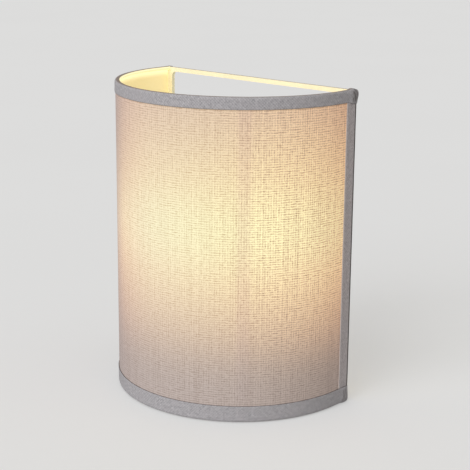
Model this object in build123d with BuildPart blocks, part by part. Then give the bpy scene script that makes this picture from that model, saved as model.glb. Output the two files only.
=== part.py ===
from build123d import *
from math import cos, radians, sin, sqrt
import os

# Half-round fabric shade wall light. Millimetres, +Z up, wall plane at Y = 0, room towards -Y.
# The origin is the centre of the wall plate's screw slots, on the wall.

# ---- driving dimensions: shade ----
shade_width = 200.0
shade_height = 250.0
shade_middle_rise = 4.0     # middle of the shade above its hanging studs
straight_return = 20.0      # straight side between the half circle and the wall
wall_gap = 0.8              # air between the shade's back and the wall
skin_gap = 0.05             # air between the layers of the shade's skin
tape_thickness = 0.5
tape_inner_height = 1.8     # the tape's leg inside the rim
top_tape_height = 9.5
bottom_tape_height = 13.3
side_tape_width = 12.0
side_tape_turn = 5.0        # the side tape's leg behind the frame
cover_thickness = 0.5
lining_thickness = 0.4
ring_wire = 2.4
frame_thickness = 3.0
frame_side_margin = 5.0
frame_bar_height = 3.5
frame_window_radius = 4.0
frame_corner_radius = 1.5
strut_width = 6.0
strut_thickness = 1.0
strut_edge_radius = 0.3
strut_angle = 43.0          # each side of the front centre line
strap_height = 14.0
strap_thickness = 1.5
strap_foot = 10.0           # flat end on the side of the frame
strap_middle_half = 62.0    # half length of the flat middle
strap_bend_radius = 4.0
notch_clearance = 0.15      # notch over stud, each side
notch_mouth = 3.0           # height of the flared mouth of a notch
notch_flare = 1.5           # the mouth's extra half width

# ---- driving dimensions: wall plate, studs and canopy ----
plate_width = 78.0
plate_height = 104.0
plate_thickness = 2.0
plate_corner = 8.0
slot_spacing = 60.0
slot_length = 12.0
slot_width = 5.0
cable_hole = 14.0
cable_hole_z = 24.0
grommet_bore = 8.0
grommet_lip = 2.0
grommet_lip_thickness = 1.5
stud_diameter = 4.0
stud_spacing = 60.0
stud_below_canopy_top = 20.0
stud_chamfer = 0.5
stud_end = 1.2              # stud showing past its knurled nut
canopy_width = 90.0
canopy_height = 120.0
canopy_depth = 24.0
canopy_wall = 1.2
canopy_corner = 14.0
canopy_edge_radius = 6.0
canopy_taper = 4.0
stud_hole_clearance = 0.3
hex_nut_flats = 7.0
hex_nut_height = 3.2
clamp_gap = 0.1             # between each face of the strap and its nuts
thread_clearance = 0.05     # plain bores on plain shafts where the object has threads
knurled_nut_diameter = 11.0
knurled_nut_height = 8.0
knurl_count = 24
knurl_groove_radius = 0.4
knurl_groove_offset = 0.16  # groove centres outside the nut's rim
nut_neck_diameter = 7.5
nut_neck_height = 1.6

# ---- driving dimensions: terminals and leads ----
block_width = 31.0
block_height = 17.0
block_depth = 13.0
block_z = -2.0
block_corner = 1.5
pole_spacing = 11.0
pole_tube_outer = 4.6
pole_tube_bore = 3.0
pole_tube_inset = 1.5       # each end of a tube inside its barrel
pole_barrel_radius = 3.6
pole_well_wall = 1.2        # wall round each screw's well
pole_screw_diameter = 3.0
pole_screw_spacing = 8.0
pole_screw_sink = 1.0       # screw head below the top of its well
block_screw_diameter = 2.5
block_screw_head = 4.6
block_screw_head_height = 1.8
block_web = 2.5             # thickness of the block under its fixing screw
lead_diameter = 2.0
lead_inside_block = 3.5     # length of each lead inside its terminal
lead_pitch = 2.8            # live to neutral inside the arm
lead_turn_above_arm = 20.0  # where live and neutral turn inwards
lead_canopy_y = -6.5        # where they turn into the arm
lead_turn_radius = 18.0
lead_arm_radius = 9.2
earth_turn_below_block = 6.5
earth_run = 8.0             # from the middle to the earth lead's last corner
earth_turn_radius = 9.0
earth_run_radius = 7.0
earth_screw_diameter = 4.0
earth_screw_head = 7.0
earth_screw_head_height = 2.4
earth_screw_head_radius = 0.8
screw_slot_width = 0.9
screw_slot_depth = 0.8
earth_x = -26.0
earth_z = -26.0
earth_tag_thickness = 0.8
earth_tag_diameter = 8.4
earth_tail_width = 3.0
earth_barrel_diameter = 3.4
earth_barrel_start = 4.8    # from the earth screw's axis
earth_barrel_length = 4.5

# ---- driving dimensions: lamp arm, lampholder and bulb ----
lamp_axis_y = -62.0
arm_above_canopy_foot = 18.0
arm_diameter = 10.0
arm_wall = 1.0
arm_bend_radius = 16.0
arm_straight_up = 10.0      # upright end inside the holder base
arm_inside = 7.0            # threaded end inside the canopy
collar_diameter = 18.0
collar_height = 4.0
collar_edge_radius = 2.4
arm_nut_flats = 14.0
arm_nut_height = 4.0
holder_diameter = 28.0
holder_wall = 1.6
holder_base_height = 15.0
holder_height = 48.0
holder_rim_radius = 0.6
grip_groove_count = 16
grip_groove_radius = 1.0
grip_groove_offset = 0.5    # groove centres outside the skirt
grip_groove_start = 3.0
grip_groove_length = 16.5
holder_base_foot = 18.0     # diameter of the base's lower end
holder_shoulder_height = 9.0
holder_floor = 3.0
arm_past_floor = 3.0        # end of the arm above the floor of the holder base
insulator_height = 9.0
insulator_upstand = 6.0     # ring of the insulator round the screw shell
insulator_upstand_wall = 1.8
contact_well_diameter = 11.0
contact_well_depth = 6.0
contact_width = 4.0
contact_thickness = 0.5
contact_foot_gap = 0.8      # ends of the contact's foot inside the well
contact_tip_half = 2.0
screw_shell_height = 19.0
screw_shell_wall = 0.4
bulb_cap_diameter = 13.9
bulb_cap_height = 18.0
bulb_tip_height = 3.6       # insulator cone and eyelet below the cap
bulb_insulator_diameter = 10.4
eyelet_diameter = 5.0
eyelet_height = 1.2
bulb_diameter = 45.0
bulb_length = 78.0
bulb_wall = 1.0
bulb_neck_diameter = 32.0   # where the collar meets the envelope
bulb_collar_foot = 17.0     # diameter of the collar's foot, over the cap
bulb_waist_diameter = 21.0
bulb_waist_height = 8.1     # above the collar's foot
bulb_cap_edge = 1.0
eyelet_edge = 0.5
eyelet_seat = 0.3           # insulator past the eyelet, all round
bulb_cap_start = 1.2        # air between the cap and the floor of its screw shell

os.makedirs("parts", exist_ok=True)


def finish(part, label):
    """Name a finished piece and write it."""
    part.label = label
    export_step(part, f"parts/{label}.step")


# ---- places worked out from the driving dimensions ----
stud_z = canopy_height / 2 - stud_below_canopy_top
shade_middle_z = stud_z + shade_middle_rise
shade_top = shade_middle_z + shade_height / 2
shade_bottom = shade_middle_z - shade_height / 2
arc_y = -straight_return
shade_back = -wall_gap
outer_radius = shade_width / 2
cover_outer = outer_radius - tape_thickness - skin_gap
lining_outer = cover_outer - cover_thickness - skin_gap
lining_inner = lining_outer - lining_thickness
ring_radius = lining_inner - skin_gap - ring_wire / 2
tape_inner = ring_radius - ring_wire / 2 - skin_gap
skin_top = shade_top - tape_thickness - skin_gap
skin_bottom = shade_bottom + tape_thickness + skin_gap
frame_half_width = lining_inner - skin_gap
frame_back = shade_back - tape_thickness - skin_gap
frame_front = frame_back - frame_thickness
skin_back = frame_back

canopy_face = -canopy_depth
plate_face = -plate_thickness
strap_back = canopy_face - hex_nut_height - clamp_gap
strap_front = strap_back - strap_thickness
knurled_back = strap_front - clamp_gap
stud_tip = knurled_back - knurled_nut_height - stud_end
stud_xs = [-stud_spacing / 2, stud_spacing / 2]
arm_z = arm_above_canopy_foot - canopy_height / 2
stud_places = [(x, stud_z) for x in stud_xs]

holder_bottom = arm_z + arm_bend_radius + arm_straight_up - holder_floor - arm_past_floor
holder_mouth = holder_bottom + holder_height
shell_floor = holder_bottom + holder_base_height + insulator_height
cap_bottom = shell_floor + bulb_cap_start
cap_top = cap_bottom + bulb_cap_height
bulb_tip = cap_bottom - bulb_tip_height
bulb_top = bulb_tip + bulb_length
bulb_centre = bulb_top - bulb_diameter / 2
wall_side = Plane.XZ        # sketch plane whose normal points to the room (-Y)


def half_round(radius, back):
    """Half circle with straight returns, closed along the line Y = back."""
    with BuildSketch() as outline:
        with BuildLine():
            front = CenterArc((0, arc_y), radius, 180, 180)
            Line(front @ 1, (radius, back))
            Line((radius, back), (-radius, back))
            Line((-radius, back), front @ 0)
        make_face()
    return outline.sketch_local


def skin_band(outer, inner, low, high, back):
    """Half-round wall between two radii, open at the back."""
    with BuildPart() as band:
        with BuildSketch(Plane.XY.offset(low)):
            add(half_round(outer, back))
            add(half_round(inner, back + 1), mode=Mode.SUBTRACT)
        extrude(amount=high - low)
    return band.part


def rim_tape(edge_z, outside_height, upward):
    """Folded tape: outside leg, web over the rim and inside leg."""
    down = -1 if upward else 1
    web = sorted([edge_z, edge_z + down * tape_thickness])
    outside = sorted([edge_z, edge_z + down * outside_height])
    inside = sorted([edge_z, edge_z + down * tape_inner_height])
    leg_inner = tape_inner - tape_thickness
    with BuildPart() as tape:
        add(skin_band(outer_radius, leg_inner, *web, frame_front - skin_gap))
        add(skin_band(outer_radius, outer_radius - tape_thickness, *outside, shade_back))
        add(skin_band(tape_inner, leg_inner, *inside, frame_front - skin_gap))
    return tape.part


# ================= shade =================

with BuildPart() as back_frame:
    with BuildSketch(Plane.XZ.offset(-frame_back)):
        with Locations((0, shade_middle_z)):
            RectangleRounded(2 * frame_half_width, skin_top - skin_bottom, frame_corner_radius)
            RectangleRounded(
                2 * (frame_half_width - frame_side_margin),
                skin_top - skin_bottom - 2 * frame_bar_height,
                frame_window_radius,
                mode=Mode.SUBTRACT,
            )
    extrude(amount=frame_thickness)
finish(back_frame.part, "back_frame")


def rim_ring(height):
    """Wire bent to the half-round outline, its ends on the frame's side strips."""
    with BuildPart() as ring:
        with BuildLine(Plane.XY.offset(height)) as path:
            bend = CenterArc((0, arc_y), ring_radius, 180, 180)
            Line((-ring_radius, frame_front), bend @ 0)
            Line(bend @ 1, (ring_radius, frame_front))
        with BuildSketch(Plane((-ring_radius, frame_front, height), (1, 0, 0), (0, -1, 0))):
            Circle(ring_wire / 2)
        sweep(path=path.line)
    return ring.part


top_ring_z = skin_top - ring_wire / 2
bottom_ring_z = skin_bottom + ring_wire / 2
finish(rim_ring(top_ring_z), "top_ring")
finish(rim_ring(bottom_ring_z), "bottom_ring")

strut_low = bottom_ring_z + ring_wire / 2
strut_high = top_ring_z - ring_wire / 2
strut_outer = sqrt((lining_inner - skin_gap) ** 2 - (strut_width / 2) ** 2)
for side, name in ((-1, "front_strut_left"), (1, "front_strut_right")):
    turn = radians(side * strut_angle)
    outward = Vector(sin(turn), -cos(turn), 0)
    centre = Vector(0, arc_y, 0) + outward * (strut_outer - strut_thickness / 2)
    with BuildPart() as strut:
        with BuildSketch(Plane(centre + Vector(0, 0, strut_low), outward, (0, 0, 1))):
            Rectangle(strut_thickness, strut_width)
        extrude(amount=strut_high - strut_low)
        fillet(strut.edges().filter_by(Axis.Z), strut_edge_radius)
    finish(strut.part, name)

foot_end = frame_half_width - skin_gap
with BuildPart() as hanging_strap:
    with BuildSketch(Plane.XY.offset(stud_z - strap_height / 2)):
        with BuildLine():
            FilletPolyline(
                (-foot_end, frame_front - strap_thickness / 2),
                (-foot_end + strap_foot, frame_front - strap_thickness / 2),
                (-strap_middle_half, strap_back - strap_thickness / 2),
                (strap_middle_half, strap_back - strap_thickness / 2),
                (foot_end - strap_foot, frame_front - strap_thickness / 2),
                (foot_end, frame_front - strap_thickness / 2),
                radius=strap_bend_radius,
            )
        trace(line_width=strap_thickness)
    extrude(amount=strap_height)
    notch_half = stud_diameter / 2 + notch_clearance
    notch_low = stud_z - strap_height / 2
    with BuildSketch(Plane.XZ.offset(-strap_back)):
        with Locations(*[(x, stud_z + notch_clearance / 2) for x in stud_xs]):
            Circle(notch_half)
        for x in stud_xs:
            with BuildLine():
                Polyline(
                    (x - notch_half, stud_z),
                    (x - notch_half, notch_low + notch_mouth),
                    (x - notch_half - notch_flare, notch_low),
                    (x + notch_half + notch_flare, notch_low),
                    (x + notch_half, notch_low + notch_mouth),
                    (x + notch_half, stud_z),
                    close=True,
                )
            make_face()
    extrude(amount=strap_thickness, both=True, mode=Mode.SUBTRACT)
finish(hanging_strap.part, "hanging_strap")

finish(skin_band(lining_outer, lining_inner, skin_bottom, skin_top, skin_back), "lining")
finish(
    skin_band(cover_outer, cover_outer - cover_thickness, skin_bottom, skin_top, skin_back),
    "fabric_cover",
)
finish(rim_tape(shade_top, top_tape_height, True), "top_tape")
finish(rim_tape(shade_bottom, bottom_tape_height, False), "bottom_tape")

side_tape_low = shade_bottom + bottom_tape_height + skin_gap
side_tape_high = shade_top - top_tape_height - skin_gap
for side, name in ((-1, "side_tape_left"), (1, "side_tape_right")):
    with BuildPart() as side_tape:
        with BuildSketch(Plane.XY.offset(side_tape_low)):
            with BuildLine():
                Polyline(
                    (side * (outer_radius - side_tape_turn), shade_back),
                    (side * outer_radius, shade_back),
                    (side * outer_radius, shade_back - side_tape_width),
                    (side * (outer_radius - tape_thickness), shade_back - side_tape_width),
                    (side * (outer_radius - tape_thickness), shade_back - tape_thickness),
                    (side * (outer_radius - side_tape_turn), shade_back - tape_thickness),
                    close=True,
                )
            make_face()
        extrude(amount=side_tape_high - side_tape_low)
    finish(side_tape.part, name)

# ================= wall plate, studs and canopy =================

with BuildPart() as wall_plate:
    with BuildSketch(wall_side):
        RectangleRounded(plate_width, plate_height, plate_corner)
        with Locations((-slot_spacing / 2, 0), (slot_spacing / 2, 0)):
            SlotOverall(slot_length, slot_width, mode=Mode.SUBTRACT)
        with Locations((0, cable_hole_z)):
            Circle(cable_hole / 2, mode=Mode.SUBTRACT)
        with Locations(*stud_places):
            Circle(stud_diameter / 2, mode=Mode.SUBTRACT)
        with Locations((earth_x, earth_z)):
            Circle(earth_screw_diameter / 2 + thread_clearance, mode=Mode.SUBTRACT)
        with Locations((pole_spacing / 2, block_z)):
            Circle(block_screw_diameter / 2 + thread_clearance, mode=Mode.SUBTRACT)
    extrude(amount=plate_thickness)
finish(wall_plate.part, "wall_plate")

with BuildPart() as cable_grommet:
    with BuildSketch(Plane.YZ):
        with BuildLine():
            Polyline(
                (0, cable_hole_z + grommet_bore / 2),
                (0, cable_hole_z + cable_hole / 2 - skin_gap),
                (plate_face - skin_gap, cable_hole_z + cable_hole / 2 - skin_gap),
                (plate_face - skin_gap, cable_hole_z + cable_hole / 2 + grommet_lip),
                (plate_face - skin_gap - grommet_lip_thickness, cable_hole_z + cable_hole / 2 + grommet_lip),
                (plate_face - skin_gap - grommet_lip_thickness, cable_hole_z + grommet_bore / 2),
                close=True,
            )
        make_face()
    revolve(axis=Axis((0, 0, cable_hole_z), (0, 1, 0)))
finish(cable_grommet.part, "cable_grommet")

with BuildPart() as hanging_studs:
    with BuildSketch(wall_side):
        with Locations(*stud_places):
            Circle(stud_diameter / 2)
    extrude(amount=-stud_tip)
    chamfer(hanging_studs.faces().sort_by(Axis.Y)[:2].edges(), stud_chamfer)
finish(hanging_studs.part, "hanging_studs")

def pressed_tray(inset):
    """Tapered tray form with a rounded front edge, all its faces moved in by the inset."""
    with BuildPart() as tray:
        with BuildSketch(wall_side):
            RectangleRounded(canopy_width - 2 * inset, canopy_height - 2 * inset, canopy_corner - inset)
        extrude(amount=canopy_depth - inset, taper=canopy_taper)
        fillet(tray.faces().sort_by(Axis.Y)[0].edges(), canopy_edge_radius - inset)
    return tray.part


with BuildPart() as canopy:
    add(pressed_tray(0))
    add(pressed_tray(canopy_wall), mode=Mode.SUBTRACT)
    with BuildSketch(Plane.XZ.offset(-canopy_face)):
        with Locations(*stud_places):
            Circle(stud_diameter / 2 + stud_hole_clearance)
        with Locations((0, arm_z)):
            Circle(arm_diameter / 2 + thread_clearance)
    extrude(amount=-2 * canopy_wall, mode=Mode.SUBTRACT)
finish(canopy.part, "canopy")

with BuildPart() as canopy_nuts:
    with BuildSketch(Plane.XZ.offset(-canopy_face)):
        with Locations(*stud_places):
            RegularPolygon(hex_nut_flats / 2, 6, major_radius=False)
            Circle(stud_diameter / 2 + thread_clearance, mode=Mode.SUBTRACT)
    extrude(amount=hex_nut_height)
finish(canopy_nuts.part, "canopy_nuts")

for x, name in zip(stud_xs, ("knurled_nut_left", "knurled_nut_right")):
    with BuildPart() as knurled_nut:
        with BuildSketch(Plane.XZ.offset(-knurled_back)):
            with Locations((x, stud_z)):
                Circle(nut_neck_diameter / 2)
        extrude(amount=nut_neck_height)
        with BuildSketch(Plane.XZ.offset(-knurled_back + nut_neck_height)):
            with Locations((x, stud_z)):
                Circle(knurled_nut_diameter / 2)
                with PolarLocations(knurled_nut_diameter / 2 + knurl_groove_offset, knurl_count):
                    Circle(knurl_groove_radius, mode=Mode.SUBTRACT)
        extrude(amount=knurled_nut_height - nut_neck_height)
        with BuildSketch(Plane.XZ.offset(-knurled_back)):
            with Locations((x, stud_z)):
                Circle(stud_diameter / 2 + thread_clearance)
        extrude(amount=knurled_nut_height, mode=Mode.SUBTRACT)
    finish(knurled_nut.part, name)

# ================= terminal block, earth and leads =================

pole_xs = [-pole_spacing, 0.0, pole_spacing]
screw_zs = [block_z - pole_screw_spacing / 2, block_z + pole_screw_spacing / 2]
block_back = plate_face
tube_y = block_back - block_depth / 2
block_front = block_back - block_depth
block_bottom = block_z - block_height / 2
pole_places = [(x, tube_y) for x in pole_xs]
screw_places = [(x, z) for x in pole_xs for z in screw_zs]
with BuildPart() as terminal_block:
    with BuildSketch(Plane.XZ.offset(-block_back)):
        with Locations((0, block_z)):
            RectangleRounded(block_width, block_height, block_corner)
    extrude(amount=block_depth / 2)
    with BuildSketch(Plane.XY.offset(block_bottom)):
        with Locations(*pole_places):
            Circle(pole_barrel_radius)
    extrude(amount=block_height)
    with BuildSketch(Plane.XZ.offset(-tube_y)):
        with Locations(*screw_places):
            Circle(pole_screw_diameter / 2 + pole_well_wall)
    extrude(amount=block_depth / 2)
    with BuildSketch(Plane.XY.offset(block_bottom)):
        with Locations(*pole_places):
            Circle(pole_tube_outer / 2 + thread_clearance)
    extrude(amount=block_height, mode=Mode.SUBTRACT)
    with BuildSketch(Plane.XZ.offset(-tube_y)):
        with Locations(*screw_places):
            Circle(pole_screw_diameter / 2 + thread_clearance)
    extrude(amount=block_depth / 2, mode=Mode.SUBTRACT)
    with BuildSketch(Plane.XZ.offset(-block_back)):
        with Locations((pole_spacing / 2, block_z)):
            Circle(block_screw_diameter / 2 + thread_clearance)
    extrude(amount=block_depth, mode=Mode.SUBTRACT)
    with BuildSketch(Plane.XZ.offset(-block_back + block_web)):
        with Locations((pole_spacing / 2, block_z)):
            Circle(block_screw_head / 2 + thread_clearance)
    extrude(amount=block_depth, mode=Mode.SUBTRACT)
finish(terminal_block.part, "terminal_block")

with BuildPart() as terminal_tubes:
    with BuildSketch(Plane.XY.offset(block_bottom + pole_tube_inset)):
        with Locations(*pole_places):
            Circle(pole_tube_outer / 2)
            Circle(pole_tube_bore / 2, mode=Mode.SUBTRACT)
    extrude(amount=block_height - 2 * pole_tube_inset)
finish(terminal_tubes.part, "terminal_tubes")

with BuildPart() as terminal_screws:
    screw_back = tube_y - pole_tube_outer / 2 - skin_gap
    with BuildSketch(Plane.XZ.offset(-screw_back)):
        with Locations(*screw_places):
            Circle(pole_screw_diameter / 2)
    extrude(amount=screw_back - block_front - pole_screw_sink)
    with BuildSketch(Plane.XZ.offset(-block_front - pole_screw_sink)):
        with Locations(*screw_places):
            Rectangle(pole_screw_diameter + 1, screw_slot_width)
    extrude(amount=-screw_slot_depth, mode=Mode.SUBTRACT)
finish(terminal_screws.part, "terminal_screws")

with BuildPart() as terminal_block_screw:
    screw_seat = block_back - block_web
    with BuildSketch(wall_side):
        with Locations((pole_spacing / 2, block_z)):
            Circle(block_screw_diameter / 2)
    extrude(amount=-screw_seat)
    with BuildSketch(Plane.XZ.offset(-screw_seat)):
        with Locations((pole_spacing / 2, block_z)):
            Circle(block_screw_head / 2)
    extrude(amount=block_screw_head_height)
    with BuildSketch(Plane.XZ.offset(-screw_seat + block_screw_head_height)):
        with Locations((pole_spacing / 2, block_z)):
            Rectangle(block_screw_head + 1, screw_slot_width)
    extrude(amount=-screw_slot_depth, mode=Mode.SUBTRACT)
finish(terminal_block_screw.part, "terminal_block_screw")

tag_front = plate_face - earth_tag_thickness
barrel_y = plate_face - earth_barrel_diameter / 2
barrel_x = earth_x + earth_barrel_start
with BuildPart() as earth_tag:
    with BuildSketch(Plane.XZ.offset(-plate_face)):
        with Locations((earth_x, earth_z)):
            Circle(earth_tag_diameter / 2)
        with Locations((earth_x + earth_barrel_start / 2, earth_z)):
            Rectangle(earth_barrel_start, earth_tail_width)
        with Locations((earth_x, earth_z)):
            Circle(earth_screw_diameter / 2 + thread_clearance, mode=Mode.SUBTRACT)
    extrude(amount=earth_tag_thickness)
    with BuildSketch(Plane.YZ.offset(barrel_x)):
        with Locations((barrel_y, earth_z)):
            Circle(earth_barrel_diameter / 2)
            Circle(lead_diameter / 2 + skin_gap, mode=Mode.SUBTRACT)
    extrude(amount=earth_barrel_length)
finish(earth_tag.part, "earth_tag")

with BuildPart() as earth_screw:
    with BuildSketch(wall_side):
        with Locations((earth_x, earth_z)):
            Circle(earth_screw_diameter / 2)
    extrude(amount=-tag_front)
    with BuildSketch(Plane.XZ.offset(-tag_front)):
        with Locations((earth_x, earth_z)):
            Circle(earth_screw_head / 2)
    extrude(amount=earth_screw_head_height)
    fillet(earth_screw.faces().sort_by(Axis.Y)[0].edges(), earth_screw_head_radius)
    with BuildSketch(Plane.XZ.offset(-tag_front + earth_screw_head_height)):
        with Locations((earth_x, earth_z)):
            Rectangle(earth_screw_head + 1, screw_slot_width)
            Rectangle(screw_slot_width, earth_screw_head + 1)
    extrude(amount=-screw_slot_depth, mode=Mode.SUBTRACT)
finish(earth_screw.part, "earth_screw")


def lead(points, radii, label):
    """Round insulated lead along straight runs joined by tangent arcs."""
    with BuildPart() as wire:
        with BuildLine() as route:
            FilletPolyline(*points, radius=radii)
        start = route.wires()[0]
        with BuildSketch(Plane(start @ 0, z_dir=start % 0)):
            Circle(lead_diameter / 2)
        sweep(path=start)
    print(label, "radii", radii, "volume over length", wire.part.volume / start.length)
    finish(wire.part, label)


lead_start = block_bottom + lead_inside_block
arm_rear = canopy_face + canopy_wall + arm_inside
arm_top = arm_z + arm_bend_radius + arm_straight_up
insulator_low = holder_bottom + holder_base_height
for side, name in ((1, "live_lead"), (-1, "neutral_lead")):
    lead(
        [
            (side * pole_spacing, tube_y, lead_start),
            (side * pole_spacing, tube_y, arm_z + lead_turn_above_arm),
            (side * lead_pitch / 2, lead_canopy_y, arm_z),
            (side * lead_pitch / 2, lamp_axis_y, arm_z),
            (side * lead_pitch / 2, lamp_axis_y, insulator_low - skin_gap),
        ],
        [lead_turn_radius, lead_arm_radius, arm_bend_radius],
        name,
    )
lead(
    [
        (0, tube_y, lead_start),
        (0, tube_y, block_bottom - earth_turn_below_block),
        (-earth_run, barrel_y, earth_z),
        (barrel_x + 1.0, barrel_y, earth_z),
    ],
    [earth_turn_radius, earth_run_radius],
    "earth_lead",
)

# ================= lamp arm and lampholder =================

lamp_section = Plane((0, lamp_axis_y, 0), (1, 0, 0), (0, -1, 0))
lamp_axis = Axis((0, lamp_axis_y, 0), (0, 0, 1))

with BuildPart() as lamp_arm:
    with BuildLine() as arm_path:
        FilletPolyline(
            (0, arm_rear, arm_z),
            (0, lamp_axis_y, arm_z),
            (0, lamp_axis_y, arm_top),
            radius=arm_bend_radius,
        )
    with BuildSketch(Plane((0, arm_rear, arm_z), (1, 0, 0), (0, -1, 0))):
        Circle(arm_diameter / 2)
        Circle(arm_diameter / 2 - arm_wall, mode=Mode.SUBTRACT)
    sweep(path=arm_path.line)
finish(lamp_arm.part, "lamp_arm")

with BuildPart() as arm_collar:
    with BuildSketch(Plane.XZ.offset(-canopy_face)):
        with Locations((0, arm_z)):
            Circle(collar_diameter / 2)
    extrude(amount=collar_height)
    fillet(arm_collar.faces().sort_by(Axis.Y)[0].edges(), collar_edge_radius)
    with BuildSketch(Plane.XZ.offset(-canopy_face)):
        with Locations((0, arm_z)):
            Circle(arm_diameter / 2 + thread_clearance)
    extrude(amount=collar_height, mode=Mode.SUBTRACT)
finish(arm_collar.part, "arm_collar")

with BuildPart() as arm_nut:
    with BuildSketch(Plane.XZ.offset(-canopy_face - canopy_wall)):
        with Locations((0, arm_z)):
            RegularPolygon(arm_nut_flats / 2, 6, major_radius=False)
            Circle(arm_diameter / 2 + thread_clearance, mode=Mode.SUBTRACT)
    extrude(amount=-arm_nut_height)
finish(arm_nut.part, "arm_nut")

holder_radius = holder_diameter / 2
base_top = holder_bottom + holder_base_height
with BuildPart() as holder_base:
    with BuildSketch(lamp_section):
        with BuildLine():
            foot = holder_base_foot / 2
            shoulder_z = holder_bottom + holder_shoulder_height
            Line((arm_diameter / 2 + thread_clearance, holder_bottom), (foot, holder_bottom))
            TangentArc((holder_radius, shoulder_z), (foot, holder_bottom), tangent=(0, -1))
            Polyline(
                (holder_radius, shoulder_z),
                (holder_radius, base_top),
                (holder_radius - holder_wall, base_top),
                (holder_radius - holder_wall, shoulder_z),
                (foot - holder_wall, holder_bottom + holder_floor),
                (arm_diameter / 2 + thread_clearance, holder_bottom + holder_floor),
                (arm_diameter / 2 + thread_clearance, holder_bottom),
            )
        make_face()
    revolve(axis=lamp_axis)
finish(holder_base.part, "holder_base")

with BuildPart() as holder_skirt:
    with BuildSketch(lamp_section):
        with Locations((holder_radius - holder_wall / 2, (base_top + holder_mouth) / 2)):
            Rectangle(holder_wall, holder_mouth - base_top)
    revolve(axis=lamp_axis)
    fillet(holder_skirt.edges().group_by(Axis.Z)[-1], holder_rim_radius)
    with BuildSketch(Plane.XY.offset(base_top + grip_groove_start)):
        with Locations((0, lamp_axis_y)):
            with PolarLocations(holder_radius + grip_groove_offset, grip_groove_count):
                Circle(grip_groove_radius)
    extrude(amount=grip_groove_length, mode=Mode.SUBTRACT)
finish(holder_skirt.part, "holder_skirt")

shell_inner = bulb_cap_diameter / 2 + thread_clearance
shell_outer = shell_inner + screw_shell_wall
with BuildPart() as holder_insulator:
    with BuildSketch(lamp_section):
        with BuildLine():
            well = contact_well_diameter / 2
            upstand = shell_outer + skin_gap
            Polyline(
                (0, base_top),
                (holder_radius - holder_wall - skin_gap, base_top),
                (holder_radius - holder_wall - skin_gap, shell_floor),
                (upstand + insulator_upstand_wall, shell_floor),
                (upstand + insulator_upstand_wall, shell_floor + insulator_upstand),
                (upstand, shell_floor + insulator_upstand),
                (upstand, shell_floor),
                (well, shell_floor),
                (well, shell_floor - contact_well_depth),
                (0, shell_floor - contact_well_depth),
                close=True,
            )
        make_face()
    revolve(axis=lamp_axis)
finish(holder_insulator.part, "holder_insulator")

with BuildPart() as holder_screw_shell:
    with BuildSketch(lamp_section):
        with Locations(((shell_inner + shell_outer) / 2, shell_floor + screw_shell_height / 2)):
            Rectangle(screw_shell_wall, screw_shell_height)
        with Locations(((well + shell_outer) / 2, shell_floor + screw_shell_wall / 2)):
            Rectangle(shell_outer - well, screw_shell_wall)
    revolve(axis=lamp_axis)
finish(holder_screw_shell.part, "holder_screw_shell")

with BuildPart() as holder_contact:
    well_floor = shell_floor - contact_well_depth
    with BuildSketch(Plane.YZ.offset(-contact_width / 2)):
        with BuildLine():
            Polyline(
                (lamp_axis_y - well + contact_foot_gap, well_floor + contact_thickness / 2),
                (lamp_axis_y + well - contact_foot_gap, well_floor + contact_thickness / 2),
                (lamp_axis_y + contact_tip_half, bulb_tip - thread_clearance - contact_thickness / 2),
                (lamp_axis_y - contact_tip_half, bulb_tip - thread_clearance - contact_thickness / 2),
            )
        trace(line_width=contact_thickness)
    extrude(amount=contact_width)
finish(holder_contact.part, "holder_contact")

# ================= bulb =================

bulb_radius = bulb_diameter / 2
neck_radius = bulb_neck_diameter / 2
neck_z = bulb_centre - sqrt(bulb_radius**2 - neck_radius**2)
with BuildPart() as bulb_envelope:
    inner_radius = bulb_radius - bulb_wall
    inner_neck = sqrt(inner_radius**2 - (bulb_centre - neck_z) ** 2)
    with BuildSketch(lamp_section):
        with BuildLine():
            ThreePointArc((neck_radius, neck_z), (bulb_radius, bulb_centre), (0, bulb_top))
            Line((0, bulb_top), (0, bulb_top - bulb_wall))
            ThreePointArc((0, bulb_top - bulb_wall), (inner_radius, bulb_centre), (inner_neck, neck_z))
            Line((inner_neck, neck_z), (neck_radius, neck_z))
        make_face()
    revolve(axis=lamp_axis)
finish(bulb_envelope.part, "bulb_envelope")

with BuildPart() as bulb_collar:
    with BuildSketch(lamp_section):
        with BuildLine():
            foot = bulb_collar_foot / 2
            Line((0, cap_top), (foot, cap_top))
            Spline(
                (foot, cap_top),
                (bulb_waist_diameter / 2, cap_top + bulb_waist_height),
                (neck_radius, neck_z - skin_gap),
                tangents=((0.1, 1), (0.7, 1)),
            )
            Line((neck_radius, neck_z - skin_gap), (0, neck_z - skin_gap))
            Line((0, neck_z - skin_gap), (0, cap_top))
        make_face()
    revolve(axis=lamp_axis)
finish(bulb_collar.part, "bulb_collar")

with BuildPart() as bulb_cap:
    with BuildSketch(lamp_section):
        with Locations((bulb_cap_diameter / 4, (cap_bottom + cap_top) / 2)):
            Rectangle(bulb_cap_diameter / 2, bulb_cap_height)
    revolve(axis=lamp_axis)
    fillet(bulb_cap.edges().group_by(Axis.Z)[0], bulb_cap_edge)
finish(bulb_cap.part, "bulb_cap")

eyelet_top = bulb_tip + eyelet_height
with BuildPart() as bulb_insulator:
    with BuildSketch(lamp_section):
        with BuildLine():
            Polyline(
                (0, eyelet_top),
                (eyelet_diameter / 2 + eyelet_seat, eyelet_top),
                (bulb_insulator_diameter / 2, cap_bottom),
                (0, cap_bottom),
                close=True,
            )
        make_face()
    revolve(axis=lamp_axis)
finish(bulb_insulator.part, "bulb_insulator")

with BuildPart() as bulb_eyelet:
    with BuildSketch(lamp_section):
        with Locations((eyelet_diameter / 4, bulb_tip + eyelet_height / 2)):
            Rectangle(eyelet_diameter / 2, eyelet_height)
    revolve(axis=lamp_axis)
    fillet(bulb_eyelet.edges().group_by(Axis.Z)[0], eyelet_edge)
finish(bulb_eyelet.part, "bulb_eyelet")
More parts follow.
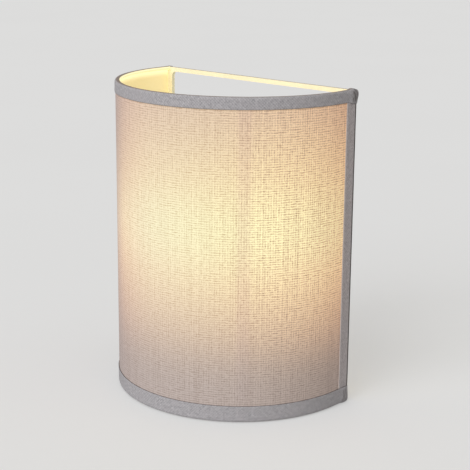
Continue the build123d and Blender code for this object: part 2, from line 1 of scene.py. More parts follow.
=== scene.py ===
import bmesh
import bpy
from math import cos, hypot, pi, radians, sin
from mathutils import Matrix, Vector, noise


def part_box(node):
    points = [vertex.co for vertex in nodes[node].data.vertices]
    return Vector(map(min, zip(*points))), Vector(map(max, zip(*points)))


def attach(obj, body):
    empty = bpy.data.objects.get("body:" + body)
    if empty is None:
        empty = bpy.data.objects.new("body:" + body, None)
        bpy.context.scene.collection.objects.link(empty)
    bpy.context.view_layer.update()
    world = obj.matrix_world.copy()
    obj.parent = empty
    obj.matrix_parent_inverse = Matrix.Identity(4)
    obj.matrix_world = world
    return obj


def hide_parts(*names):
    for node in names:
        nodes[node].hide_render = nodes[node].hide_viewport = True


# Half-round fabric shade wall light, lit. Metres, +Z up, wall plane at y = 0, room towards -y.

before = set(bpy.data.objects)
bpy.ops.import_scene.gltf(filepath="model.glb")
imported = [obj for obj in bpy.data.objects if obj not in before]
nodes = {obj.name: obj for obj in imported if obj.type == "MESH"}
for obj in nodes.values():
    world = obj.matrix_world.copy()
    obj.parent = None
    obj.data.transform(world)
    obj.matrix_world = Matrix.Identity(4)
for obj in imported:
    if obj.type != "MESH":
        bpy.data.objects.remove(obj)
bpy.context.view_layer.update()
MM = 0.001

# ---- camera ----

YAW, PITCH, ROLL = radians(42.30), radians(14.57), radians(0.51)
LENS, SENSOR = 97.82, 36  # in mm
CAMERA_PLACE = (0.67594, -0.76875, 0.30338)
forward = Vector((-sin(YAW) * cos(PITCH), cos(YAW) * cos(PITCH), -sin(PITCH)))
level = Vector((cos(YAW), sin(YAW), 0))
upright = level.cross(forward)
across_view = level * cos(ROLL) + upright * sin(ROLL)
up_view = upright * cos(ROLL) - level * sin(ROLL)
camera_data = bpy.data.cameras.new("camera")
camera_data.lens = LENS
camera_data.sensor_width = SENSOR
camera = bpy.data.objects.new("camera", camera_data)
camera.matrix_world = (
    Matrix.Translation(CAMERA_PLACE)
    @ Matrix((across_view, up_view, -forward)).transposed().to_4x4()
)
bpy.context.scene.collection.objects.link(camera)
bpy.context.scene.camera = camera

# ---- the shade's measures ----

cover_low, cover_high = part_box("fabric_cover")
lining_low, lining_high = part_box("lining")
top_low, top_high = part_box("top_tape")
bottom_low, bottom_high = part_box("bottom_tape")
side_low, side_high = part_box("side_tape_right")
frame_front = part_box("back_frame")[0].y
bulb_low, bulb_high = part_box("bulb_envelope")
RADIUS = top_high.x
ARC_Y = top_low.y + RADIUS  # the half circle's centre
TAPE = 0.5 * MM  # thickness of a tape
CORNER = 1.0 * MM  # bend of the tape round the back corners
FOLD = 10 * MM  # length of a rim tape's folded corner
TUCK = 4.6 * MM  # tape behind the frame
HALF_ROUND = 177 * MM  # about the length of cloth from the front centre to a back edge
STRUT_BAND = 76.5 * MM  # middle of the dark band that the right strut leaves, along the cloth
WEFT_PITCH, WARP_PITCH = 1.8 * MM, 2.0 * MM
TAPE_PITCH = 1.6 * MM  # square to the tape's threads, which lie at 45 degrees
TWILL_PITCH = 0.45 * MM
LEADS_Y = -8.5 * MM  # the leads' middle at the terminal block
ARC_STEPS = 48  # faces round a quarter of the shade
SHEET_ROWS = 40
# Creases of a folded corner: each has its reach and width in mm, and its depth as a share.
CREASES = ((10.2, 0.6, 0.9), (7.6, 0.65, 1.1), (5.0, 0.6, 0.9))
bulb_radius = (bulb_high.y - bulb_low.y) / 2
BULB_HEART = (0, bulb_high.y - bulb_radius, bulb_high.z - bulb_radius)

# ---- finishes: nodes written as sums ----

BLACK, WHITE = (0, 0, 0, 1), (1, 1, 1, 1)


def paint(red, green, blue):
    """A colour from its screen values, 0 to 255."""
    levels = (red, green, blue)
    return [*(((c / 255 + 0.055) / 1.055) ** 2.4 if c > 10 else c / 3294.6 for c in levels), 1]


class Signal:
    """An output of a node. A sum written on it adds its own nodes."""

    def __init__(self, owner, socket):
        self.owner = owner
        self.socket = socket

    def other(self, output):
        """Another output of the same node."""
        return Signal(self.owner, self.socket.node.outputs[output])

    def reckon(self, operation, *values):
        return self.owner.node("Math", {"operation": operation}, *values)

    def __add__(self, value):
        return self.reckon("ADD", self, value)

    def __sub__(self, value):
        return self.reckon("SUBTRACT", self, value)

    def __rsub__(self, value):
        return self.reckon("SUBTRACT", value, self)

    def __mul__(self, value):
        return self.reckon("MULTIPLY", self, value)

    def __truediv__(self, value):
        return self.reckon("DIVIDE", self, value)

    def __pow__(self, value):
        return self.reckon("POWER", self, value)

    __radd__ = __add__

    def wave(self, pitch):
        """From -1 to 1 and back over each pitch."""
        return self.reckon("SINE", self * (2 * pi / pitch))

    def size(self):
        return self.reckon("ABSOLUTE", self)

    def bell(self, middle, width):
        """1 at the middle, falling smoothly to both sides."""
        return self.reckon("EXPONENT", ((self - middle) / width) ** 2 * -1.0)

    def at_least(self, value):
        return self.reckon("MAXIMUM", self, value)

    def at_most(self, value):
        return self.reckon("MINIMUM", self, value)

    def between(self, low, high):
        """0 below low, 1 above high and smooth between."""
        return self.owner.node(
            "MapRange",
            {"interpolation_type": "SMOOTHSTEP"},
            Value=self,
            From_Min=low,
            From_Max=high,
        )


class Tree:
    """A node tree, with the calls that add nodes to it."""

    def __init__(self, tree):
        self.tree = tree

    def feed(self, socket, value):
        """Give an input a value or a link."""
        if isinstance(value, Signal):
            self.tree.links.new(value.socket, socket)
        elif value is not None:
            socket.default_value = value

    def node(self, kind, settings=None, *values, **named):
        """One node: its settings, the values of its first sockets, and of others by name."""
        made = self.tree.nodes.new("ShaderNode" + kind)
        for setting, value in (settings or {}).items():
            if setting == "stops":
                self.fill(made.color_ramp.elements, value)
            else:
                setattr(made, setting, value)
        for socket, value in enumerate(values):
            self.feed(made.inputs[socket], value)
        for socket, value in named.items():
            self.feed(made.inputs[socket.replace("_", " ")], value)
        return Signal(self, made.outputs[0])

    def fill(self, elements, stops):
        """Give a ramp its stops."""
        while len(elements) < len(stops):
            elements.new(0.5)
        for element, (place, colour) in zip(elements, stops):
            element.position = place
            element.color = colour


class Finish(Tree):
    """The nodes of one material, which end in its principled surface."""

    def __init__(self, name, **surface):
        self.material = bpy.data.materials.new(name)
        self.material.use_nodes = True
        super().__init__(self.material.node_tree)
        self.surface = self.tree.nodes["Principled BSDF"]
        self.place = self.node("TexCoord").other("Object")
        self.set(**surface)

    def set(self, **surface):
        """Values of the principled surface, by the names of its sockets."""
        for socket, value in surface.items():
            self.feed(self.surface.inputs[socket.replace("_", " ")], value)

    def mix(self, low, high, share, way="MIX"):
        """A colour between two, or the second laid on the first."""
        spare = [None] * 5  # inputs of the node that are for other kinds of value
        settings = {"data_type": "RGBA", "blend_type": way}
        return self.node("Mix", settings, share, *spare, low, high).other(2)

    def times(self, colour, other):
        """The product of two colours."""
        return self.mix(colour, other, 1.0, "MULTIPLY")

    def ramp(self, place, *stops):
        """Colours that melt into each other along a line: each stop has its place and its colour."""
        start = stops[0][0]
        length = stops[-1][0] - start
        settings = {"stops": [((at - start) / length, (*colour, 1)) for at, *colour in stops]}
        melted = self.node("ValToRGB", settings, (place - start) / length)
        melted.socket.node.color_ramp.interpolation = "B_SPLINE"
        return melted

    def scaled(self, vector, x, y, z):
        """A place with its axes stretched, for a noise that is longer one way."""
        return self.node("VectorMath", {"operation": "MULTIPLY"}, vector, (x, y, z))

    def cloud(self, vector, scale, detail=2.0, roughness=0.5):
        """Soft noise from 0 to 1, about 0.5 on average."""
        return self.node("TexNoise", None, vector, Scale=scale, Detail=detail, Roughness=roughness)

    def cloth(self):
        """The cloth's own places: along it, across it and both as a vector."""
        both = self.node("UVMap", {"uv_map": "Cloth"})
        parts = self.node("SeparateXYZ", None, both)
        return parts, parts.other("Y"), both

    def axis(self, vector, letter):
        """One of a vector's three numbers."""
        return self.node("SeparateXYZ", None, vector).other(letter)

    def relief(self, height, depth, strength):
        """Small heights in the surface, as its normals show them."""
        self.set(Normal=self.node("Bump", None, Height=height, Distance=depth, Strength=strength))


def linen_weave(linen):
    """How much thread covers each place, and the long streaks in it."""
    along, up, both = linen.cloth()
    drift = linen.cloud(both, 170, 2) - 0.5
    weft_line = (up + drift * (1.3 * MM)).wave(WEFT_PITCH) * 0.5 + 0.5
    warp_line = (along + drift * (1.2 * MM)).wave(WARP_PITCH) * 0.5 + 0.5
    weft_dash = linen.cloud(linen.scaled(both, 260, 620, 0), 1, 2, 0.6).between(0.34, 0.64)
    warp_dash = linen.cloud(linen.scaled(both, 560, 200, 0), 1, 2, 0.6).between(0.36, 0.64)
    patch = linen.cloud(both, 75, 2).between(0.36, 0.64)
    weft = weft_line * (0.3 + weft_dash * 0.7) * (0.92 - patch * 0.4)
    warp = warp_line * (0.3 + warp_dash * 0.7) * (0.18 + patch * 0.4)
    fluff = linen.cloud(linen.scaled(both, 1000, 1300, 0), 1, 3, 0.7) - 0.5
    strand = along.wave(0.62 * MM) * 0.07 + up.wave(0.58 * MM) * 0.09
    slub = linen.cloud(linen.scaled(both, 70, 640, 0), 1, 2, 0.6).between(0.64, 0.74)
    knot = linen.cloud(linen.scaled(both, 480, 560, 0), 1, 1).between(0.72, 0.82)
    streak = linen.cloud(linen.scaled(both, 520, 8, 0), 1, 2, 0.5) - 0.5
    cover = weft * 0.75 + warp * 0.75 + fluff * 1.3 + strand + slub * 0.14 + knot * 0.12
    return cover, streak


def linen_light(linen, cover, streak):
    """The bulb's light through the cloth, browner and weaker through its threads."""
    along, up, _ = linen.cloth()
    upward = linen.ramp(
        up,
        (cover_low.z, 0.09, 0.05, 0.03),
        (-45 * MM, 0.06, 0.04, 0.01),
        (-10 * MM, 0.54, 0.32, 0.23),
        (30 * MM, 0.98, 0.73, 0.63),
        (68 * MM, 1.0, 1.0, 1.0),
        (110 * MM, 0.96, 0.71, 0.54),
        (cover_high.z, 0.49, 0.27, 0.21),
    )
    sideways = linen.ramp(
        along,
        (-HALF_ROUND, 0.26, 0.20, 0.11),
        (-88 * MM, 0.22, 0.18, 0.11),
        (-66 * MM, 0.17, 0.14, 0.10),
        (-40 * MM, 0.43, 0.33, 0.14),
        (0, 0.46, 0.50, 0.25),
        (60 * MM, 0.48, 0.50, 0.17),
        (120 * MM, 0.59, 0.56, 0.24),
        (HALF_ROUND, 0.41, 0.28, 0.10),
    )
    off_strut = (along - STRUT_BAND).size().between(2.6 * MM, 7.4 * MM)
    strut_shade = linen.mix((0.90, 0.83, 0.82, 1), WHITE, off_strut)
    glow = linen.times(linen.times(upward, sideways), strut_shade)

    vivid = 0.78 + along.between(30 * MM, 110 * MM) * 1.15 + (0 - along).between(20 * MM, 70 * MM) * 0.3
    through = (1 - ((cover - 0.3) * 0.72 + streak * 0.36) * vivid).at_least(0.3)
    warmth = linen.mix(WHITE, (1.28, 0.92, 0.52, 1), (1 - through) * 1.8)
    # Painted shade: the glow is weaker towards the top left; painted light: a little more on the left
    # flank.
    top_left = (1 - along.between(-110 * MM, -10 * MM)) * up.between(50 * MM, 160 * MM)
    left_flank = up.bell(60 * MM, 35 * MM) * along.bell(-55 * MM, 30 * MM)
    share = through * (1 - top_left * 0.75) * (1 + left_flank * 0.2)
    return linen.node("VectorMath", {"operation": "SCALE"}, linen.times(glow, warmth), Scale=share)


def linen_finish():
    """Plain-woven linen look with slubs, lit from behind by the bulb."""
    linen = Finish("linen", Roughness=0.95)
    cover, streak = linen_weave(linen)
    thread = linen.mix(paint(192, 180, 178), paint(146, 130, 122), cover + streak * 0.5)
    lit = linen_light(linen, cover, streak)
    linen.set(Base_Color=thread, Emission_Color=lit, Emission_Strength=1.0)
    linen.relief(cover, 0.2 * MM, 0.8)
    return linen.material


def lining_finish():
    """Smooth white sheet that the bulb makes cream, with the weave showing faintly through it."""
    lining = Finish("lining", Roughness=0.55)
    along, up, _ = lining.cloth()
    weave = along.wave(2.1 * MM) * up.wave(1.9 * MM)
    cloudy = lining.cloud(lining.place, 30, 3)
    white = lining.mix(paint(236, 230, 206), paint(226, 217, 190), cloudy)
    halo = up.bell(58 * MM, 50 * MM) * along.bell(0, 50 * MM)
    rim = up.between(lining_high.z - 8.45 * MM, lining_high.z - 1.95 * MM)
    glow = lining.mix((0.28, 0.20, 0.06, 1), (0.37, 0.28, 0.08, 1), up.between(60 * MM, 140 * MM))
    glow = lining.mix(glow, (0.75, 0.66, 0.36, 1), halo)
    glow = lining.mix(glow, BLACK, weave * 0.05 + 0.05)
    glow = lining.mix(glow, (0.72, 0.65, 0.36, 1), rim)
    lining.set(Base_Color=white, Emission_Color=glow, Emission_Strength=1.0)
    lining.relief(cloudy, 0.3 * MM, 0.2)
    return lining.material


def tape_weave(tape):
    """How much thread covers each place: bias-cut threads, a fine twill and a fibrous face."""
    along, over, both = tape.cloth()
    pitch = TAPE_PITCH * 2**0.5
    drift = (tape.cloud(both, 220, 2) - 0.5) * (1.2 * MM)
    one = (along + over + drift).wave(pitch) * 0.5 + 0.5
    two = (along - over + drift).wave(pitch) * 0.5 + 0.5
    fibre = tape.cloud(tape.scaled(both, 1100, 700, 0), 1, 4, 0.65) - 0.5
    fluff = tape.cloud(both, 420, 3, 0.6) - 0.5
    twill = (along + over).wave(TWILL_PITCH) * 0.08 + (along - over).wave(TWILL_PITCH) * 0.05
    return one * 0.3 + two * 0.15 + fibre * 1.6 + fluff * 1.5 + twill + 0.27


def tape_finish(name, low, high, hem, hem_edge, edge=False):
    """Cotton tape between two greys, with its hem line and painted shade on its folds and creases.

    hem colours the tape from its outer edge to hem_edge: a dark painted shadow line on a rim's tape, a
    pale line of painted glow on a side tape. A side tape has painted shadow along its back edge. A rim's
    tape is also lit on its inner leg, with painted light.
    """
    tape = Finish(name, Roughness=0.95)
    _, over, both = tape.cloth()
    threads = tape_weave(tape)
    blotch = tape.cloud(both, 70, 3, 0.6).between(0.4, 0.7)
    grey = tape.mix(low, high, threads)
    grey = tape.mix(grey, paint(176, 170, 172), blotch * 0.35)
    # The hem colour paints a line along the hem: painted shadow on a rim's tape, painted glow on a side
    # tape.
    grey = tape.mix(hem, grey, over.between(hem_edge * 0.3, hem_edge))
    x = tape.axis(tape.place, "X")
    y = tape.axis(tape.place, "Y")
    radius = (x**2 + (y - ARC_Y).at_most(0) ** 2) ** 0.5
    if edge:
        # Painted shadow along the side tape's outermost back edge.
        behind = y.between(side_high.y - 2.4 * MM, side_high.y - 1.4 * MM)
        outermost = radius.between(RADIUS - 0.6 * MM, RADIUS - 0.1 * MM)
        grey = tape.mix(grey, paint(72, 69, 67), behind * outermost)
    else:
        # Painted shade on the top of the fold ahead of the frame, and painted light on the inner leg.
        ahead = 1 - y.between(frame_front - 0.15 * MM, frame_front + 0.85 * MM)
        fold = 1 - radius.between(RADIUS - 1.6 * MM, RADIUS - 0.6 * MM)
        inside = 1 - radius.between(RADIUS - 4.3 * MM, RADIUS - 3.3 * MM)
        grey = tape.mix(grey, paint(146, 132, 123), fold * ahead)
        lit = tape.mix(BLACK, (0.95, 0.86, 0.48, 1), inside * ahead)
        tape.set(Emission_Color=lit, Emission_Strength=1.0)
    # Painted shade in the creases of the folded corners.
    crease = tape.node("Attribute", {"attribute_name": "crease"}).other("Fac")
    tape.set(Base_Color=tape.mix(grey, paint(84, 78, 74), crease))
    tape.relief(threads, 0.2 * MM, 0.8)
    return tape.material


def powder_finish(name, colour, top_face_shade=0.0, lit=None):
    """Satin powder coat with its fine orange peel and faint dusty patches, painted shade on what faces
    up and painted glow on what faces the bulb.
    """
    coat = Finish(name)
    peel = coat.cloud(coat.place, 900, 2)
    dust = coat.cloud(coat.place, 45, 4, 0.6)
    tone = coat.mix(colour, [c * 0.93 for c in colour[:3]] + [1], dust.between(0.35, 0.8))
    if top_face_shade or lit:
        normal = coat.node("NewGeometry").other("True Normal")
    if top_face_shade:
        # Painted shade: faces that look up are darker, patchy with the dust noise.
        facing_up = coat.axis(normal, "Z").between(0.6, 0.9)
        tone = coat.mix(tone, paint(150, 140, 128), facing_up * (0.6 + dust * 0.5) * top_face_shade)
    # Painted light: faces turned towards the bulb glow.
    if lit:
        towards = coat.node("VectorMath", {"operation": "SUBTRACT"}, BULB_HEART, coat.place)
        towards = coat.node("VectorMath", {"operation": "NORMALIZE"}, towards)
        facing = coat.node("VectorMath", {"operation": "DOT_PRODUCT"}, normal, towards).other("Value")
        coat.set(Emission_Color=coat.mix(BLACK, lit, facing.at_least(0)), Emission_Strength=1.0)
    coat.set(Base_Color=tone, Roughness=0.36 + dust * 0.25)
    coat.relief(peel, 0.06 * MM, 0.5)
    return coat.material


def metal_finish(name, colour, rough, grain=(1, 1, 1)):
    """Plated or plain metal with drawn grain and small cloudy patches."""
    metal = Finish(name, Metallic=1.0)
    patch = metal.cloud(metal.place, 60, 4, 0.6)
    drawn = metal.cloud(metal.scaled(metal.place, *[900 * g for g in grain]), 1, 3)
    tone = metal.mix(colour, [c * 0.72 for c in colour[:3]] + [1], patch.between(0.3, 0.8) * 0.6)
    metal.set(Base_Color=tone, Roughness=rough - 0.1 + patch * 0.2)
    metal.relief(drawn, 0.04 * MM, 0.4)
    return metal.material


def moulded_finish(name, colour, rough, coat=0.0):
    """Moulded plastic with a faint mould texture and handling marks."""
    plastic = Finish(name, Coat_Weight=coat)
    marks = plastic.cloud(plastic.place, 80, 4, 0.65)
    pebble = plastic.cloud(plastic.place, 1400, 1)
    tone = plastic.mix(colour, [c * 0.9 for c in colour[:3]] + [1], marks.between(0.45, 0.85))
    plastic.set(Base_Color=tone, Roughness=rough + (marks - 0.5) * 0.16)
    plastic.relief(pebble, 0.03 * MM, 0.5)
    return plastic.material


def earth_finish():
    """Green insulation with a yellow stripe that runs round its sides."""
    wire = Finish("earth_insulation", Roughness=0.4)
    off_stripe = (wire.axis(wire.place, "Y") - LEADS_Y).size().between(0.45 * MM, 0.65 * MM)
    dust = wire.cloud(wire.place, 300, 2)
    tone = wire.mix(paint(214, 196, 40), paint(52, 120, 48), off_stripe)
    wire.set(Base_Color=wire.mix(tone, paint(60, 90, 50), dust * 0.3))
    wire.relief(dust, 0.03 * MM, 0.4)
    return wire.material


def opal_finish():
    """Opal glass lit from within, a little brighter at its crown."""
    opal = Finish("opal_glass", Roughness=0.12, Coat_Weight=0.4)
    crown = opal.axis(opal.place, "Z").between(36 * MM, 66 * MM)
    mottle = opal.cloud(opal.place, 50, 2)
    lit = opal.mix((0.86, 0.76, 0.52, 1), (1.0, 0.93, 0.74, 1), crown)
    opal.set(
        Base_Color=opal.mix(paint(238, 234, 224), paint(230, 224, 210), mottle),
        Emission_Color=lit,
        Emission_Strength=0.75,
    )
    opal.relief(mottle, 0.1 * MM, 0.2)
    return opal.material


finishes = {
    "linen": linen_finish(),
    "lining": lining_finish(),
    # hem: a dark painted shadow line where the rim tape meets the cloth.
    "tape": tape_finish(
        "tape", paint(142, 139, 142), paint(195, 191, 193), hem=paint(98, 88, 86), hem_edge=0.8 * MM
    ),
    # hem: a pale line of painted glow next to the cloth; edge: painted shadow along the back edge.
    "edge_tape": tape_finish(
        "edge_tape",
        paint(156, 147, 147),
        paint(210, 202, 202),
        hem=paint(216, 202, 196),
        hem_edge=1.1 * MM,
        edge=True,
    ),
    # Frame and rings glow on faces towards the bulb by painted light; the frame is darker on upward
    # faces by painted shade.
    "frame_paint": powder_finish(
        "frame_paint", paint(236, 226, 200), top_face_shade=0.6, lit=(0.10, 0.15, 0.10, 1)
    ),
    "ring_paint": powder_finish("ring_paint", paint(236, 226, 200), lit=(0.62, 0.5, 0.24, 1)),
    "white_paint": powder_finish("white_paint", paint(240, 237, 230)),
    "zinc_steel": metal_finish("zinc_steel", paint(196, 198, 200), 0.38, (1, 0.1, 0.15)),
    "brass": metal_finish("brass", paint(212, 178, 108), 0.28, (0.1, 1, 1)),
    "tinned_copper": metal_finish("tinned_copper", paint(206, 204, 198), 0.33),
    "nickel": metal_finish("nickel", paint(208, 204, 196), 0.2, (1, 1, 0.1)),
    "black_rubber": moulded_finish("black_rubber", paint(38, 38, 40), 0.75),
    "ivory_plastic": moulded_finish("ivory_plastic", paint(236, 228, 206), 0.42),
    "holder_plastic": moulded_finish("holder_plastic", paint(238, 235, 226), 0.3, 0.2),
    "bulb_plastic": moulded_finish("bulb_plastic", paint(240, 238, 232), 0.42),
    "porcelain": moulded_finish("porcelain", paint(240, 236, 226), 0.15, 0.6),
    "black_glass": moulded_finish("black_glass", paint(20, 20, 22), 0.12, 0.6),
    "brown_insulation": moulded_finish("brown_insulation", paint(104, 62, 36), 0.42),
    "blue_insulation": moulded_finish("blue_insulation", paint(36, 92, 170), 0.42),
    "earth_insulation": earth_finish(),
    "opal_glass": opal_finish(),
}

worn_by = {
    "frame_paint": "back_frame front_strut_left front_strut_right hanging_strap",
    "ring_paint": "top_ring bottom_ring",
    "white_paint": "canopy lamp_arm arm_collar",
    "zinc_steel": "wall_plate hanging_studs canopy_nuts terminal_screws terminal_block_screw earth_screw"
    " arm_nut",
    "black_rubber": "cable_grommet",
    "ivory_plastic": "terminal_block",
    "brass": "terminal_tubes",
    "tinned_copper": "earth_tag holder_contact bulb_eyelet",
    "earth_insulation": "earth_lead",
    "brown_insulation": "live_lead",
    "blue_insulation": "neutral_lead",
    "holder_plastic": "holder_base holder_skirt",
    "porcelain": "holder_insulator",
    "nickel": "holder_screw_shell bulb_cap knurled_nut_left knurled_nut_right",
    "opal_glass": "bulb_envelope",
    "bulb_plastic": "bulb_collar",
    "black_glass": "bulb_insulator",
}
for finish, wearers in worn_by.items():
    for wearer in wearers.split():
        mesh = nodes[wearer].data
        mesh.materials.clear()
        mesh.materials.append(finishes[finish])


# ---- the shade's cloth ----


def ease(share):
    """From 0 to 1, slow at both ends."""
    share = min(1.0, max(0.0, share))
    return share * share * (3 - 2 * share)


def turn(bm, edge_line, centre, steps):
    """Spin a line of edges a quarter turn about an upright axis. Returns the far line."""
    made = bmesh.ops.spin(
        bm,
        geom=edge_line,
        cent=(*centre, 0),
        axis=(0, 0, 1),
        angle=pi / 2,
        steps=steps,
        use_duplicate=False,
    )
    return made["geom_last"]


def pull(bm, edge_line, step, count):
    """Extrude a line of edges straight, in several steps. Returns the far line."""
    for _ in range(count):
        edges = [e for e in edge_line if isinstance(e, bmesh.types.BMEdge)]
        edge_line = bmesh.ops.extrude_edge_only(bm, edges=edges)["geom"]
        verts = [v for v in edge_line if isinstance(v, bmesh.types.BMVert)]
        bmesh.ops.translate(bm, verts=verts, vec=Vector(step) / count)
        edge_line = verts + far_edges(edge_line, verts)
    return edge_line


def far_edges(geometry, verts):
    """The edges among the geometry that join the given vertices to each other."""
    ends = set(verts)
    return [e for e in geometry if isinstance(e, bmesh.types.BMEdge) and set(e.verts) <= ends]


def profile_line(bm, points):
    """Vertices and edges of a profile at the front centre, with the distance along it kept."""
    across = bm.verts.layers.float.new("across")
    verts = []
    run = 0.0
    for radius, height in points:
        vert = bm.verts.new((0, ARC_Y - radius, height))
        if verts:
            run += (vert.co - verts[-1].co).length
        vert[across] = run
        verts.append(vert)
    return verts, [bm.edges.new(pair) for pair in zip(verts, verts[1:])]


def place_along(point):
    """Distance along the shade's outline from the front centre, negative on the left."""
    side = -1 if point.x < 0 else 1
    x = abs(point.x)
    if point.y <= ARC_Y:
        angle = Vector((0, -1)).angle(Vector((x, point.y - ARC_Y)), 0)
        return side * RADIUS * angle
    turned_in = max(0.0, RADIUS - 3.0 * MM - x)
    return side * (RADIUS * pi / 2 + point.y - ARC_Y + turned_in)


def face_out(bm, way):
    """Turn the faces of an open sheet so that the outermost face one way looks that way."""
    way = Vector(way)
    bmesh.ops.recalc_face_normals(bm, faces=bm.faces)
    outermost = max(bm.faces, key=lambda face: face.calc_center_median().dot(way))
    if outermost.normal.dot(way) < 0:
        bmesh.ops.reverse_faces(bm, faces=bm.faces)


def other_half(bm):
    """Mirror a half to the left side and join the two."""
    bmesh.ops.mirror(bm, geom=bm.verts[:] + bm.edges[:] + bm.faces[:], axis="X", merge_dist=1e-6)
    bmesh.ops.remove_doubles(bm, verts=bm.verts, dist=1e-6)


def add_cloth_places(bm, place):
    """Lay the cloth's own map from each vertex's place along the cloth and across it."""
    cloth = bm.loops.layers.uv.new("Cloth")
    for face in bm.faces:
        for loop in face.loops:
            loop[cloth].uv = place(loop.vert)


def ripple(bm, depth, size, seed):
    """Small waves out of and into the surface, as glued cloth has."""
    bm.normal_update()
    for vert in bm.verts:
        wave = noise.noise(vert.co / size + Vector((seed, 0, 0)))
        vert.co += vert.normal * wave * depth


def finished(bm, name, slot, thickness, smooth=0, worn=None):
    """Make the piece's object, at the origin. It wears the slot's finish, or the one named as worn."""
    mesh = bpy.data.meshes.new(name)
    bm.to_mesh(mesh)
    bm.free()
    mesh.materials.append(finishes[worn or slot])
    mesh.shade_smooth()
    piece = bpy.data.objects.new(name, mesh)
    bpy.context.scene.collection.objects.link(piece)
    wall = piece.modifiers.new("thickness", "SOLIDIFY")
    wall.thickness = thickness
    wall.offset = -1
    if smooth:
        finer = piece.modifiers.new("smooth", "SUBSURF")
        finer.levels = smooth
        finer.render_levels = smooth
    return piece


def round_sheet(name, low, high, slot, thickness):
    """A sheet bent to the shade's half-round outline, as wide and high as the given box."""
    radius, back = high.x, high.y
    bm = bmesh.new()
    heights = [low.z + (high.z - low.z) * row / SHEET_ROWS for row in range(SHEET_ROWS + 1)]
    verts, edges = profile_line(bm, [(radius, height) for height in heights])
    far = turn(bm, verts + edges, (0, ARC_Y), ARC_STEPS)
    pull(bm, far, (0, back - ARC_Y, 0), 6)
    other_half(bm)
    face_out(bm, (0, -1, 0))
    add_cloth_places(bm, lambda vert: (place_along(vert.co), vert.co.z))
    ripple(bm, 0.05 * MM, 30 * MM, radius * 1000)
    piece = finished(bm, name, slot, thickness)
    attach(piece, "shade")
    return piece


cover = round_sheet("linen_cover", cover_low, cover_high, "linen", 0.45 * MM)
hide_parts("fabric_cover")
liner = round_sheet("lining_sheet", lining_low, lining_high, "lining", 0.4 * MM)
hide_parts("lining")


def rim_profile(rim, hem, up):
    """Points over the rim, from the outside hem to the inside edge."""
    depths = [
        (RADIUS - 0.28 * MM, hem),
        (RADIUS + 0.04 * MM, hem - 0.12 * MM),
        (RADIUS + 0.16 * MM, hem - 0.6 * MM),
        (RADIUS + 0.18 * MM, hem - 1.8 * MM),
        (RADIUS + 0.10 * MM, hem - 3.0 * MM),
        (RADIUS + 0.04 * MM, 4.6 * MM),
        (RADIUS + 0.02 * MM, 2.6 * MM),
        (RADIUS - 0.06 * MM, 1.2 * MM),
        (RADIUS - 0.5 * MM, 0.36 * MM),
        (RADIUS - 1.3 * MM, 0.06 * MM),
        (RADIUS - 2.3 * MM, 0.0),
        (RADIUS - 3.3 * MM, 0.06 * MM),
        (RADIUS - 4.1 * MM, 0.34 * MM),
        (RADIUS - 4.45 * MM, 0.9 * MM),
        (RADIUS - 4.5 * MM, 1.6 * MM),
    ]
    side = -1 if up else 1
    return [(radius, rim + side * depth) for radius, depth in depths]


def corner_folds(bm, rim, hem, up, back):
    """Where the end of the tape is folded round a back corner: thicker, lifted and creased, with painted
    shade for the creases kept on each vertex.
    """
    crease_shade = bm.verts.layers.float.new("crease")
    for vert in bm.verts:
        into = (vert.co.y - back + FOLD) / MM  # how far into the folded corner, in mm
        if into < -6:
            continue
        right = vert.co.x > 0
        depth = abs(vert.co.z - rim) / hem
        size = (1.0 if right else 0.3) * (1.0 if up else 0.45) * MM  # largest at the top right
        near = ease(into / 5)
        outside = ease((abs(vert.co.x) - (RADIUS - 3 * MM)) / (2 * MM))
        belly = 0.1 + 0.9 * sin(pi * min(1.0, 0.2 + 0.78 * depth))
        crease = 0.0
        for reach, width, share in CREASES:
            off_bow = hypot(into + 0.4, (1 - depth) * 8.2) - reach
            crease += share / (1 + (off_bow / width) ** 2)
        crease *= near * outside * ease((1.0 - depth) / 0.25)
        vert.co.x += (1 if right else -1) * outside * size * (near * belly * 2.2 - crease * 0.55)
        raised = ease((into - 1) / 4) * (1 - ease((into - 6.6) / 2.2)) * (1 - ease(depth * 2))
        lowered = near * ease((depth - 0.6) / 0.4) * (1.4 if up else 0.3)
        if right:
            vert.co.z += (1 if up else -1) * size * (0.9 * raised - lowered)
            vert[crease_shade] = min(1.0, crease * (0.85 if up else 0.5))


def rim_tape(name, rim, hem, up, node):
    """Tape folded over a rim, its ends bent round the back corners and tucked in behind."""
    bm = bmesh.new()
    verts, edges = profile_line(bm, rim_profile(rim, hem, up))
    far = turn(bm, verts + edges, (0, ARC_Y), ARC_STEPS)
    back = top_high.y
    fold = back - FOLD
    stop = frame_front - 0.1 * MM
    far = pull(bm, far, (0, fold - ARC_Y, 0), 5)
    far = pull(bm, far, (0, stop - fold, 0), 17)
    # Past the frame's front only the part outside the crest goes on, and is drawn out to the bend.
    crest = RADIUS - 2.35 * MM
    outer = [v for v in far if isinstance(v, bmesh.types.BMVert) and v.co.x > crest]
    outer = outer + far_edges(far, outer)
    outer = pull(bm, outer, (0, back - CORNER - stop, 0), 5)
    bend_line = RADIUS - CORNER + 0.15 * MM
    for vert in bm.verts:
        gone = (vert.co.y - stop) / (back - CORNER - stop)
        if gone > 0 and vert.co.x < bend_line:
            vert.co.x += (bend_line - vert.co.x) * ease(gone)
    outer = turn(bm, outer, (RADIUS - CORNER, back - CORNER), 5)
    pull(bm, outer, (-TUCK + CORNER, 0, 0), 4)
    other_half(bm)
    face_out(bm, (0, -1, 0))
    across = bm.verts.layers.float["across"]
    add_cloth_places(bm, lambda vert: (place_along(vert.co), vert[across]))
    corner_folds(bm, rim, hem, up, back)
    ripple(bm, 0.10 * MM, 5 * MM, hem * 1000)
    piece = finished(bm, name, "tape", TAPE, 1)
    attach(piece, "shade")
    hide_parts(node)


rim_tape("top_rim_tape", top_high.z, top_high.z - top_low.z, True, "top_tape")
rim_tape("bottom_rim_tape", bottom_low.z, bottom_high.z - bottom_low.z, False, "bottom_tape")


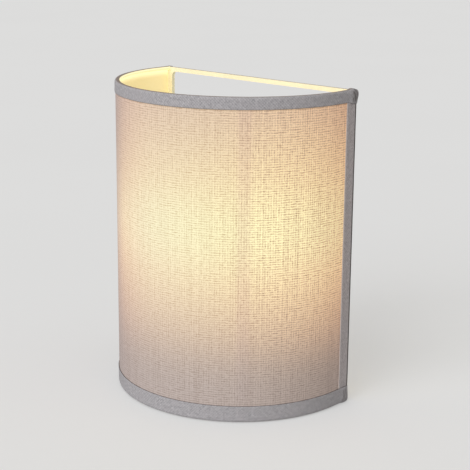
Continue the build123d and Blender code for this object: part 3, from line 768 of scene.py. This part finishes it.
def edge_tape(name, side, node):
    """Upright tape on a back edge: a folded hem towards the cloth and a leg behind the frame."""
    back = side_high.y
    front = side_low.y
    points = [
        (RADIUS - 0.3 * MM, front - 0.05 * MM),
        (RADIUS + 0.02 * MM, front + 0.03 * MM),
        (RADIUS + 0.2 * MM, front + 0.4 * MM),
        (RADIUS + 0.26 * MM, front + 1.4 * MM),
        (RADIUS + 0.22 * MM, front + 3.6 * MM),
        (RADIUS + 0.06 * MM, front + 4.1 * MM),
        (RADIUS + 0.02 * MM, front + 4.6 * MM),
        (RADIUS + 0.05 * MM, front + 7.0 * MM),
        (RADIUS + 0.1 * MM, back - 1.6 * MM),
        (RADIUS + 0.08 * MM, back - 0.7 * MM),
        (RADIUS - 0.2 * MM, back - 0.15 * MM),
        (RADIUS - 0.9 * MM, back),
        (RADIUS - TUCK, back),
    ]
    bm = bmesh.new()
    across = bm.verts.layers.float.new("across")
    low, high = side_low.z - 0.4 * MM, side_high.z + 0.4 * MM
    verts = []
    for x, y in points:
        vert = bm.verts.new((side * x, y, low))
        vert[across] = hypot(RADIUS - x, y - points[0][1])
        verts.append(vert)
    edges = [bm.edges.new(pair) for pair in zip(verts, verts[1:])]
    pull(bm, verts + edges, (0, 0, high - low), 56)
    face_out(bm, (side, 0, 0))
    add_cloth_places(bm, lambda vert: (vert.co.z, vert[across]))
    ripple(bm, 0.1 * MM, 9 * MM, 7 + side)
    piece = finished(bm, name, "tape", TAPE, 1, "edge_tape")
    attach(piece, "shade")
    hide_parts(node)


edge_tape("side_edge_tape_left", -1, "side_tape_left")
edge_tape("side_edge_tape_right", 1, "side_tape_right")


# ---- light and stage ----


def lamp(name, kind, place, power, colour, **settings):
    """A light at a place, aimed at the origin."""
    light = bpy.data.lights.new(name, kind)
    light.energy = power
    light.color = colour
    for setting, value in settings.items():
        setattr(light, setting, value)
    stand = bpy.data.objects.new(name, light)
    stand.location = place
    stand.rotation_euler = (-Vector(place)).to_track_quat("-Z", "Y").to_euler()
    bpy.context.scene.collection.objects.link(stand)


lamp("bulb_light", "POINT", BULB_HEART, 0.085, (1, 0.82, 0.55), shadow_soft_size=18 * MM)
nodes["bulb_envelope"].visible_shadow = False
lamp("window_light", "SUN", (0.10, -0.95, 0.46), 1.9, (0.955, 0.975, 1.0), angle=radians(50))

# The background is one grey to the camera and in reflections, and another as light.
world = bpy.data.worlds.new("studio")
bpy.context.scene.world = world
world.use_nodes = True
sky = Tree(world.node_tree)
as_light = sky.tree.nodes["Background"]
as_light.inputs["Color"].default_value = (0.517, 0.507, 0.488, 1)
as_seen = sky.node("Background", None, (0.716, 0.716, 0.716, 1))
ray = sky.node("LightPath")
seen = ray.other("Is Camera Ray").at_least(ray.other("Is Glossy Ray"))
background = sky.node("MixShader", None, seen, Signal(sky, as_light.outputs[0]), as_seen)
sky.feed(sky.tree.nodes["World Output"].inputs["Surface"], background)

floor_bm = bmesh.new()
bmesh.ops.create_grid(floor_bm, x_segments=1, y_segments=1, size=30)
bmesh.ops.translate(floor_bm, verts=floor_bm.verts, vec=(0, 0, bottom_low.z - 0.6 * MM))
floor_mesh = bpy.data.meshes.new("floor")
floor_bm.to_mesh(floor_mesh)
floor_bm.free()
ground = Finish("floor", Roughness=0.85, Specular_IOR_Level=0.0)
tone = ground.mix((0.52, 0.52, 0.52, 1), (0.50, 0.50, 0.50, 1), ground.cloud(ground.place, 3))
seen_directly = ground.node("LightPath").other("Is Camera Ray")
ground.set(Base_Color=tone, Emission_Color=WHITE, Emission_Strength=seen_directly * 0.33)
floor_mesh.materials.append(ground.material)
floor = bpy.data.objects.new("floor", floor_mesh)
bpy.context.scene.collection.objects.link(floor)

bpy.context.scene.view_settings.view_transform = "Standard"
